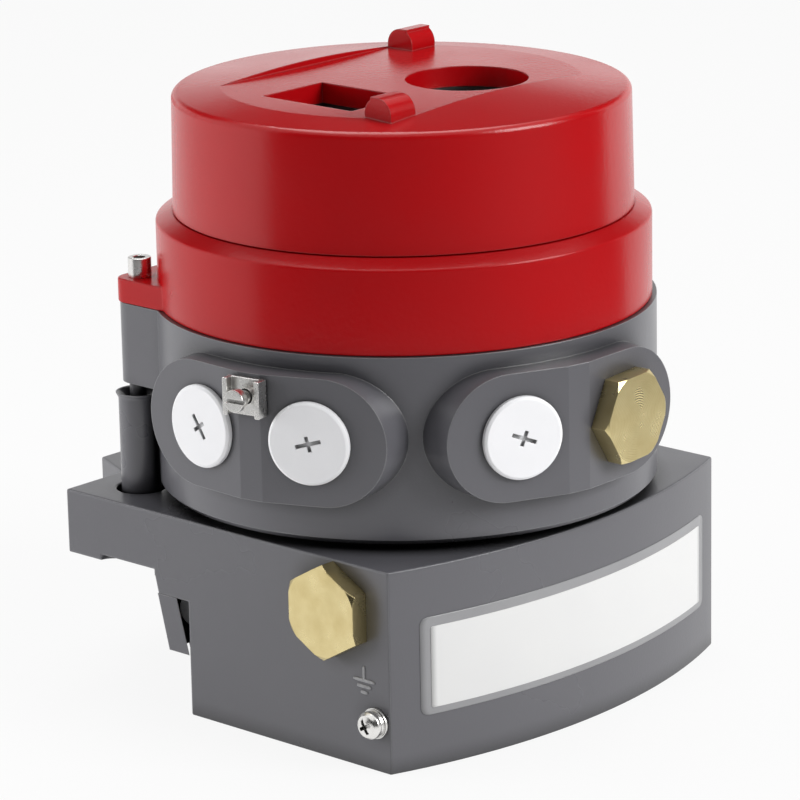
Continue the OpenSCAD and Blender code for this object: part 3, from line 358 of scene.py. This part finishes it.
def pad_grid(half_long, half_wide, rise, squareness):
    """A flat pad with a rounded rim, as arrays of its two flat coordinates and its height.

    Round the pad t goes from 0 to 2 pi: u = a |cos t|^(2/n), v = b |sin t|^(2/n) with their signs, where
    n is the squareness. Up the pad the outline shrinks and rises along a quarter round, then closes.
    """
    t = np.linspace(0.0, 2.0 * math.pi, 48, endpoint=False)
    u = np.sign(np.cos(t)) * np.abs(np.cos(t)) ** (2.0 / squareness)
    v = np.sign(np.sin(t)) * np.abs(np.sin(t)) ** (2.0 / squareness)
    turn = np.linspace(0.0, math.pi / 2.0, 5)
    inset = np.concatenate([[1.0, 0.0], 1.0 - np.cos(turn), [1.0]])
    height = np.concatenate([[-0.5, -0.5], np.sin(turn), [1.0]]) * rise
    rim = min(half_long, half_wide, rise)
    long = half_long - np.minimum(inset * rim, half_long)
    wide = half_wide - np.minimum(inset * rim, half_wide)
    long[[0, -1]] = 0.0
    wide[[0, -1]] = 0.0
    return long[:, None] * u, wide[:, None] * v, np.broadcast_to(height[:, None], (len(height), len(t)))


def sign_bar(bar):
    """One bar of the sign on the block's left face: the pad's flat coordinates go to -Y and Z."""
    along, upright, height = pad_grid(bar[2], bar[3], SIGN_RISE, squareness=4.0)
    return np.stack([SIGN_FACE_X - height, SIGN_Y + bar[0] - along, SIGN_Z + bar[1] + upright], axis=-1)


sign_paint = finish("sign_paint", (0.38, 0.38, 0.39), (0.26, 0.26, 0.27), patch_scale=900.0, contrast=2.0,
                    gloss_loss=0.5, grain_scale=1800.0)
earth_sign = closed_piece("earth_sign", np.stack([sign_bar(bar) for bar in SIGN_BARS]))
earth_sign.data.materials.append(sign_paint)
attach(earth_sign, "housing")


# Rib cheek
# The tapered rib under the wing runs out to the block's left side behind the white plug, like the band
# above it. The cheek is part of the casting and leaves a narrow gap beside the block, towards the plug.
RIB_REAR_Y = -0.0179
RIB_TAPER = 0.25
RIB_FOOT_Z = -0.0222
BAND_FOOT_Z = -0.0053
RIB_SIDE_X = -0.0648
CHEEK_TOP_LENGTH = 0.008
CHEEK_FOOT_LENGTH = 0.0084
POCKET_CORNER_X = -0.0679
REAR_PROUD = 0.00025
POCKET_LAP = 0.00005
CHEEK_SETBACK = 0.0001


def cheek_grid():
    """A prism with five corners in plan, leaning with the rib's taper: y(z) = rear + taper z + corner.

    Going round, its corners are the outer rear one, the outer front one, the pocket's inner corner and
    the two on the rib's side. The outer front one comes forward to the block at the foot. Rows go up from
    the middle of the foot to the middle of the top.
    """
    outer = SIGN_FACE_X + CHEEK_SETBACK
    top = np.array([[outer, 0.0], [outer, -CHEEK_TOP_LENGTH], [POCKET_CORNER_X, -POCKET_LAP],
                    [RIB_SIDE_X, -POCKET_LAP], [RIB_SIDE_X, REAR_PROUD]])
    foot = top.copy()
    foot[1, 1] = -CHEEK_FOOT_LENGTH
    middle = np.array([(outer + POCKET_CORNER_X) / 2.0, REAR_PROUD / 2.0])
    pole = np.broadcast_to(middle, top.shape)
    plan = np.stack([pole, foot, top, pole])
    z = np.array([RIB_FOOT_Z, RIB_FOOT_Z, BAND_FOOT_Z, BAND_FOOT_Z])[:, None]
    y = RIB_REAR_Y + RIB_TAPER * z + plan[..., 1]
    return np.stack([plan[..., 0], y, np.broadcast_to(z, y.shape)], axis=-1)


rib_cheek = closed_piece("rib_cheek", cheek_grid()[None])
rib_cheek.data.shade_flat()
rib_cheek.data.materials.append(grey_paint)
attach(rib_cheek, "housing")


# Feedback shaft
# A ground steel shaft in a bronze bush with a rubber seal, held by a circlip under the base.
# Its upper end carries a holder with the magnet that the position sensor reads.
# Painted shade darkens the steel in its recesses, such as the screws' crosses.
steel = finish("nickel_steel", (0.90, 0.89, 0.87), (0.76, 0.75, 0.73), patch_scale=240.0, contrast=1.4,
               gloss_loss=0.27, gloss_spread=0.16, grain_scale=5000.0, depth=0.000006,
               recess_dark=0.8, recess_reach=0.0025, Metallic=1.0)
bronze = finish("bronze", (0.50, 0.33, 0.16), (0.36, 0.23, 0.11), patch_scale=1800.0, contrast=2.0,
                gloss_loss=0.45, grain_scale=4200.0, depth=0.00002, Metallic=1.0)
rubber = finish("black_rubber", (0.022, 0.022, 0.022), (0.014, 0.014, 0.014), patch_scale=300.0,
                gloss_loss=0.62, gloss_spread=0.2, grain_scale=3600.0, depth=0.00001)
plated = finish("plated_magnet", (0.66, 0.66, 0.68), (0.56, 0.56, 0.58), patch_scale=500.0,
                gloss_loss=0.14, gloss_spread=0.1, grain_scale=4000.0, depth=0.000003, Metallic=1.0)
dress(["feedback_shaft", "shaft_circlip"], steel, 0.0002)
dress(["magnet_holder", "shaft_magnet"], plated)
dress(["shaft_bush"], bronze)
dress(["shaft_seal"], rubber)


# Spool valve
# A lapped steel spool in a steel sleeve across the block, with the pilot and two pressure cells above it.
# Its wire spring is drawn anew as a coil in the old spring's box, between the spool and the painted end cap.
SPRING_TURNS = 7
WIRE_RADIUS = 0.0006


def coil_spring(name, low, high):
    """A spring along X inside the box from low to high.

    The wire's middle runs on a helix: with s from 0 to 1, x = low + w + s (length - 2 w) and the
    angle is 2 pi turns s. A circle of the wire's radius w is swept along it, square to the helix
    but for its slight slope, and shrinks to a point at both ends.
    """
    along = np.linspace(0.0, 1.0, 32 * SPRING_TURNS)[:, None]
    angle = 2.0 * math.pi * SPRING_TURNS * along
    around = np.linspace(0.0, 2.0 * math.pi, 12, endpoint=False)[None, :]
    wire = np.full_like(along, WIRE_RADIUS)
    wire[[0, -1]] = 0.0
    coil = (high[1] - low[1]) / 2.0 - WIRE_RADIUS
    radius = coil + wire * np.cos(around)
    x = low[0] + WIRE_RADIUS + along * (high[0] - low[0] - 2.0 * WIRE_RADIUS) - wire * np.sin(around)
    y = (low[1] + high[1]) / 2.0 + radius * np.cos(angle)
    z = (low[2] + high[2]) / 2.0 + radius * np.sin(angle)
    return closed_piece(name, np.stack([x, y, z], axis=-1)[None])


lapped = finish("lapped_steel", (0.70, 0.70, 0.70), (0.62, 0.62, 0.62), patch_scale=160.0,
                gloss_loss=0.12, gloss_spread=0.08, grain_scale=9000.0, depth=0.000002,
                stretch=(1.0, 0.1, 0.1), Metallic=1.0)
dark_plastic = finish("dark_plastic", (0.034, 0.034, 0.037), (0.026, 0.026, 0.029), patch_scale=120.0,
                      gloss_loss=0.46, gloss_spread=0.15, grain_scale=2600.0, depth=0.000012)
dress(["spool_sleeve", "spool"], lapped)
spring_low, spring_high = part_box("spool_spring")
return_spring = coil_spring("return_spring", spring_low, spring_high)
return_spring.data.materials.append(steel)
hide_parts("spool_spring")
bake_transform(return_spring)
dress(["spool_end_cap"], grey_paint, 0.0003)
dress(["pilot_valve"], dark_plastic, 0.0003)
dress(["pressure_sensors"], steel)


# Ports and ground screw
# Three threaded ports: one is shut by a hexagon plug turned from brass bar, two stay open.
# A pan head screw with a washer and a lock washer grounds the block; a white plug shuts a rear drilling.
THREAD_PITCH = 0.0018
THREAD_RISE = 0.0008
THREAD_TURNS = 8
THREAD_START = 0.002
THREAD_SINK = 0.00005
RING_PITCH = 0.0007
RING_DEPTH = 0.000012


def make_turned_effect():
    """Marks of the lathe on a turned face: rings of a given pitch round the axis, slightly uneven."""
    group, entry, leave = new_effect(
        "turned_rings",
        {"Across": ("NodeSocketVector", (0.0, 0.0, 0.0)), "Pitch": ("NodeSocketFloat", 0.0004)},
        {"Height": "NodeSocketFloat"})
    reach = add_node(group, "ShaderNodeVectorMath", {0: entry.outputs["Across"]}, operation="LENGTH")
    wander = add_node(group, "ShaderNodeTexNoise", {"Vector": entry.outputs["Across"], "Scale": 220.0})
    uneven = add_node(group, "ShaderNodeMath",
                      {0: wander.outputs["Fac"], 1: entry.outputs["Pitch"], 2: reach.outputs["Value"]},
                      operation="MULTIPLY_ADD")
    turns = add_node(group, "ShaderNodeMath", {0: uneven.outputs[0], 1: entry.outputs["Pitch"]},
                     operation="DIVIDE")
    angle = add_node(group, "ShaderNodeMath", {0: turns.outputs[0], 1: 2.0 * math.pi}, operation="MULTIPLY")
    wave = add_node(group, "ShaderNodeMath", {0: angle.outputs[0]}, operation="SINE")
    group.links.new(wave.outputs[0], leave.inputs["Height"])
    return group


turned_effect = make_turned_effect()


def turned_brass(name, node, across):
    """Brass with lathe rings round a plug's own axis; across is 1 on the two axes square to it."""
    # Painted shade darkens the brass in its recesses.
    material = finish(name, (0.82, 0.70, 0.38), (0.68, 0.55, 0.26), patch_scale=150.0, contrast=1.6,
                      gloss_loss=0.30, gloss_spread=0.22, grain_scale=2600.0, depth=0.00001,
                      edge_radius=0.0004, recess_dark=0.3, recess_reach=0.003, Metallic=1.0)
    tree = material.node_tree
    low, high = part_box(node)
    middle = [-(low[i] + high[i]) / 2.0 * across[i] for i in range(3)]
    place = add_node(tree, "ShaderNodeTexCoord").outputs["Object"]
    centred = add_node(tree, "ShaderNodeMapping", {"Vector": place, "Location": middle, "Scale": across})
    rings = add_node(tree, "ShaderNodeGroup", {"Across": centred.outputs["Vector"]}, node_tree=turned_effect)
    rings.inputs["Pitch"].default_value = RING_PITCH
    shader = tree.nodes["Principled BSDF"]
    grain_bump = shader.inputs["Normal"].links[0].from_socket
    tooled = add_node(tree, "ShaderNodeBump",
                      {"Height": rings.outputs["Height"], "Distance": RING_DEPTH, "Normal": grain_bump})
    tree.links.new(tooled.outputs["Normal"], shader.inputs["Normal"])
    return material


def port_thread(name, mount):
    """A thread's helical rib in a bore along X.

    Down the bore the angle a runs over the turns, x = mouth - start - pitch a / 2 pi. Round the rib its
    section is a flat-topped ridge: the radius drops from the wall by rise k and x shifts by pitch w.
    The rise starts and ends at nothing, so both ends close in a point.
    """
    mouth, middle_y, middle_z = mount["pos_m"]
    bore = mount["dims"]["r_mm"] / 1000.0
    angle = np.linspace(0.0, 2.0 * math.pi * THREAD_TURNS, 40 * THREAD_TURNS + 1)[:, None]
    drop = np.array([0.0, 1.0, 1.0, 0.0])[None, :]
    shift = np.array([0.46, 0.10, -0.10, -0.46])[None, :]
    share = np.minimum(1.0, 4.0 * np.minimum(angle, angle[::-1]) / (2.0 * math.pi))
    radius = bore + THREAD_SINK - THREAD_RISE * share * drop
    x = mouth - THREAD_START - THREAD_PITCH * (angle / (2.0 * math.pi) + share * shift)
    points = np.stack([x, middle_y + radius * np.cos(angle), middle_z + radius * np.sin(angle)], axis=-1)
    points[[0, -1]] = points[[0, -1], :1]
    return closed_piece(name, points[None])


brass_port = turned_brass("brass_port", "port_plug", (0.0, 1.0, 1.0))
dress(["port_plug"], brass_port)
# Painted shade darkens the white plastic in its recesses, such as the caps' cross slits.
white_plastic = finish("white_plastic", (0.95, 0.95, 0.97), (0.90, 0.90, 0.92), patch_scale=90.0,
                       contrast=1.2, gloss_loss=0.40, gloss_spread=0.14, grain_scale=1500.0,
                       depth=0.00001, recess_dark=1.0, recess_reach=0.0016)
dress(["rear_port_plug"], white_plastic, 0.0002)
dress(["rear_plug_ring"], rubber)
dress(["ground_screw", "ground_washers"], steel, 0.00015)

cut_aluminium = finish("cut_aluminium", (0.62, 0.62, 0.63), (0.50, 0.50, 0.51), patch_scale=400.0,
                       gloss_loss=0.30, grain_scale=5200.0, depth=0.000006, Metallic=1.0)
for mount in frame["record"]["mounts"]:
    if mount["kind"] == "threaded_hole":
        thread = port_thread(mount["name"] + "_thread", mount)
        thread.data.materials.append(cut_aluminium)
        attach(thread, "housing")


# Housing and posts
# The round electronics housing, a grey painted casting screwed down on a rubber gasket from inside.
# Two grey posts stand in recesses of the base behind it and carry its ears by studs.
dress(["base_gasket"], rubber)
dress(["body_housing"], grey_paint)
dress(["body_screws"], steel)
dress(["support_posts"], grey_paint, 0.0003)


# Conduit closures
# Push-in caps of white polyethylene shut three conduits, a brass hexagon plug the fourth.
# Between two of them a nickel plated clamp and its slotted screw take the earth wire.
dress(["conduit_caps"], white_plastic, 0.0002)
brass_conduit = turned_brass("brass_conduit", "conduit_plug", (1.0, 0.0, 1.0))
dress(["conduit_plug"], brass_conduit)
dress(["earth_clamp", "earth_screw"], steel, 0.0002)


# Electronics
# Boards on stand-offs over a steel chassis, with the terminal block beside them and a panel on top.
# The panel carries four keys on a rubber mat and the display; its dark pane shows through the window.
board_mask = finish("circuit_board", (0.012, 0.085, 0.040), (0.020, 0.120, 0.060), patch_scale=420.0,
                    contrast=7.0, gloss_loss=0.30, gloss_spread=0.08, grain_scale=900.0, depth=0.00002,
                    stretch=(1.0, 0.2, 1.0))
key_plastic = finish("key_plastic", (0.62, 0.62, 0.62), (0.55, 0.55, 0.55), patch_scale=150.0,
                     gloss_loss=0.42, grain_scale=2200.0, depth=0.00001)
pane_glass = finish("display_pane", (0.030, 0.036, 0.034), (0.022, 0.027, 0.026), patch_scale=70.0,
                    gloss_loss=0.10, gloss_spread=0.05, grain_scale=3000.0, depth=0.000002)
dress(["position_sensor", "terminal_block", "keypad_panel", "display_module"], dark_plastic, 0.0003)
dress(["chassis", "board_standoffs", "terminal_screws", "panel_screws"], steel)
dress(["main_board", "interface_board"], board_mask)
dress(["keypad_mat"], rubber)
dress(["button_up", "button_down", "button_enter", "button_cancel"], key_plastic, 0.0004)

PANE_BORDER = 0.003
PANE_RISE = 0.0004
display_low, display_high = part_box("display_module")
pane_u, pane_v, pane_height = pad_grid(
    (display_high[0] - display_low[0]) / 2.0 - PANE_BORDER,
    (display_high[1] - display_low[1]) / 2.0 - PANE_BORDER, PANE_RISE, squareness=12.0)
pane_points = np.stack([
    (display_low[0] + display_high[0]) / 2.0 + pane_u,
    (display_low[1] + display_high[1]) / 2.0 + pane_v,
    display_high[2] + pane_height], axis=-1)
display_pane = closed_piece("display_pane", pane_points[None])
display_pane.data.materials.append(pane_glass)
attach(display_pane, "housing")


# Collar
# The threaded ring on the housing, cast with two ears and painted glossy red, sealed by an o-ring.
# A socket head screw through each ear locks it down.
def red_paint(name, **sockets):
    """The red gloss paint of the collar and the cover, over a slightly wavy casting."""
    # A painted highlight lightens the edges and painted shade darkens the recesses.
    return finish(name, (0.46, 0.0015, 0.004), (0.39, 0.001, 0.003), patch_scale=30.0,
                  gloss_loss=0.24, gloss_spread=0.16, grain_scale=700.0, depth=0.00005,
                  edge_radius=0.0006, edge_light=0.10, recess_dark=0.25, recess_reach=0.005, **sockets)


dress(["collar_ring"], red_paint("collar_paint", Specular_IOR_Level=0.32), 0.0005)
dress(["collar_o_ring"], rubber)
dress(["collar_screws"], steel, 0.0002)


# Cover
# The screwed cover, cast and painted like the collar, with a channel and two lugs for a turning bar.
# Glass panes lie on gaskets under its two windows, held from inside by a screwed steel frame.
CROWN_RISE = 0.0021
cover_paint = red_paint("cover_paint", Specular_IOR_Level=0.45)
cover_low, cover_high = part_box("cover")
cover_radius = (cover_high[0] - cover_low[0]) / 2.0
cover_tree = cover_paint.node_tree
cover_place = add_node(cover_tree, "ShaderNodeTexCoord").outputs["Object"]
# The lid's face is slightly crowned: its height falls with the square of the distance from the middle
from_middle = add_node(cover_tree, "ShaderNodeMapping", {
    "Vector": cover_place,
    "Location": [-(cover_low[0] + cover_high[0]) / 2.0 / cover_radius,
                 -(cover_low[1] + cover_high[1]) / 2.0 / cover_radius, 0.0],
    "Scale": [1.0 / cover_radius, 1.0 / cover_radius, 0.0]})
crown = add_node(cover_tree, "ShaderNodeVectorMath",
                 {0: from_middle.outputs["Vector"], 1: from_middle.outputs["Vector"]},
                 operation="DOT_PRODUCT")
cover_shader = cover_tree.nodes["Principled BSDF"]
painted_normal = cover_shader.inputs["Normal"].links[0].from_socket
crowned = add_node(cover_tree, "ShaderNodeBump",
                   {"Height": crown.outputs["Value"], "Distance": CROWN_RISE, "Normal": painted_normal},
                   invert=True)
cover_tree.links.new(crowned.outputs["Normal"], cover_shader.inputs["Normal"])
dress(["cover"], cover_paint)
dress(["cover_o_ring", "window_gaskets"], rubber)
dress(["window_retainer", "retainer_screws"], steel)
window_glass = finish("window_glass", (0.86, 0.90, 0.90), (0.84, 0.88, 0.88), patch_scale=40.0,
                      gloss_loss=0.02, gloss_spread=0.03, grain_scale=300.0, depth=0.000001,
                      Transmission_Weight=1.0, IOR=1.5)
dress(["display_window", "round_window"], window_glass)


# Floor
# A plain pale studio floor under the base block, which keeps the object's shadow.
# For the camera, in glass and in reflections it is lifted towards white.
FLOOR_REACH = 6.0
FLOOR_LIFT = 0.90
floor_z = cad_box[0][2]
floor_line = np.linspace(-FLOOR_REACH, FLOOR_REACH, 3)
floor_x, floor_y = np.meshgrid(floor_line, floor_line)
floor = grid_piece("floor", np.stack([floor_x, floor_y, np.full_like(floor_x, floor_z)], axis=-1))
floor_finish = bpy.data.materials.new("floor")
floor_finish.use_nodes = True
floor_tree = floor_finish.node_tree
floor_shader = floor_tree.nodes["Principled BSDF"]
floor_shader.inputs["Base Color"].default_value = (0.70, 0.70, 0.70, 1.0)
floor_shader.inputs["Roughness"].default_value = 0.9


def white_for_eye(tree):
    """A socket that is 1 for rays to the camera, off a mirror or through glass, and 0 for the rest."""
    rays = add_node(tree, "ShaderNodeLightPath")
    seen = add_node(tree, "ShaderNodeMath",
                    {0: rays.outputs["Is Camera Ray"], 1: rays.outputs["Is Glossy Ray"]}, operation="MAXIMUM")
    through = add_node(tree, "ShaderNodeMath",
                       {0: seen.outputs[0], 1: rays.outputs["Is Transmission Ray"]}, operation="MAXIMUM")
    return through.outputs[0]


lift = add_node(floor_tree, "ShaderNodeMath", {0: white_for_eye(floor_tree), 1: FLOOR_LIFT},
                operation="MULTIPLY")
glow = add_node(floor_tree, "ShaderNodeEmission", {"Color": (1.0, 1.0, 1.0, 1.0), "Strength": 1.0})
blend = add_node(floor_tree, "ShaderNodeMixShader",
                 {0: lift.outputs[0], 1: floor_shader.outputs[0], 2: glow.outputs[0]})
floor_tree.links.new(blend.outputs[0], floor_tree.nodes["Material Output"].inputs["Surface"])
floor.data.materials.append(floor_finish)


# Lights
# A low soft box close by at the left, a high one at the right and a wide one overhead, in a pale room.
# Two black cards, seen in reflections alone, darken the mirrored front and all but the far part of the lid.
def soft_box(name, place, target, size, watts):
    """A square area lamp at a place, turned to face a target."""
    lamp = bpy.data.lights.new(name, "AREA")
    lamp.size = size
    lamp.energy = watts
    box = bpy.data.objects.new(name, lamp)
    direction = Vector(target) - Vector(place)
    box.matrix_world = Matrix.Translation(place) @ direction.to_track_quat("-Z", "Y").to_matrix().to_4x4()
    bpy.context.scene.collection.objects.link(box)
    return box


MIDDLE = (0.0, -0.05, 0.05)
left_box = soft_box("left_box", (-0.52, 0.48, 0.10), MIDDLE, size=0.5, watts=4.6)
left_box.visible_glossy = False
soft_box("right_box", (0.47, -1.57, 0.85), MIDDLE, size=0.9, watts=26.0)
soft_box("top_box", (0.35, 0.30, 1.70), MIDDLE, size=1.2, watts=15.0)

world = bpy.data.worlds.new("studio")
world.use_nodes = True
sky_tree = world.node_tree
room = sky_tree.nodes["Background"]
room.inputs["Color"].default_value = (1.0, 1.0, 1.0, 1.0)
room.inputs["Strength"].default_value = 0.22
backdrop = add_node(sky_tree, "ShaderNodeBackground", {"Color": (1.0, 1.0, 1.0, 1.0), "Strength": 1.0})
sky = add_node(sky_tree, "ShaderNodeMixShader",
               {0: white_for_eye(sky_tree), 1: room.outputs[0], 2: backdrop.outputs[0]})
sky_tree.links.new(sky.outputs[0], sky_tree.nodes["World Output"].inputs["Surface"])
bpy.context.scene.world = world

CARD_COLUMNS = 40
CARD_ANGLES = np.radians([-205.0, -22.0])
CARD_RADII = np.array([0.44, 2.4, 2.4])
CARD_LIFT = 0.0005
CARD_LEVELS = np.array([floor_z + CARD_LIFT, floor_z + CARD_LIFT, 2.4])
card_angle = np.linspace(*CARD_ANGLES, CARD_COLUMNS)
black_card = grid_piece("black_card", np.stack([
    CARD_RADII[:, None] * np.cos(card_angle), MIDDLE[1] + CARD_RADII[:, None] * np.sin(card_angle),
    np.broadcast_to(CARD_LEVELS[:, None], (3, CARD_COLUMNS))], axis=-1))
BACK_ANGLES = np.radians([-20.0, 105.0])
BACK_RADIUS = 1.2
BACK_LEVELS = np.array([0.50, 1.3])
back_angle = np.linspace(*BACK_ANGLES, CARD_COLUMNS)
back_card = grid_piece("back_card", np.stack([
    np.broadcast_to(BACK_RADIUS * np.cos(back_angle), (2, CARD_COLUMNS)),
    np.broadcast_to(MIDDLE[1] + BACK_RADIUS * np.sin(back_angle), (2, CARD_COLUMNS)),
    np.broadcast_to(BACK_LEVELS[:, None], (2, CARD_COLUMNS))], axis=-1))
card_finish = bpy.data.materials.new("black_card")
card_finish.use_nodes = True
card_shader = card_finish.node_tree.nodes["Principled BSDF"]
card_shader.inputs["Base Color"].default_value = (0.02, 0.02, 0.02, 1.0)
card_shader.inputs["Roughness"].default_value = 0.9
for card in (black_card, back_card):
    card.data.materials.append(card_finish)
    card.visible_camera = False
    card.visible_diffuse = False
    card.visible_transmission = False
    card.visible_shadow = False


# Camera
# The photograph's point of view, found from the edges of the block, the rings and the bosses.
# Its roll and focal length come from the same fit.
CAMERA_PLACE = (-0.9212, -0.8931, 0.3963)
CAMERA_BACK = Vector((-0.7103, -0.6493, 0.2719)).normalized()
CAMERA_ROLL = math.radians(-1.12)
level = Vector((0.0, 0.0, 1.0)).cross(CAMERA_BACK).normalized()
upright = CAMERA_BACK.cross(level)
right = math.cos(CAMERA_ROLL) * level + math.sin(CAMERA_ROLL) * upright
up = CAMERA_BACK.cross(right)
lens = bpy.data.cameras.new("photo_view")
lens.sensor_width = 36.0
lens.lens = 192.94
camera = bpy.data.objects.new("photo_view", lens)
turn = Matrix((right, up, CAMERA_BACK)).transposed().to_4x4()
camera.matrix_world = Matrix.Translation(CAMERA_PLACE) @ turn
bpy.context.scene.collection.objects.link(camera)
bpy.context.scene.camera = camera
bpy.context.scene.view_settings.view_transform = "Standard"
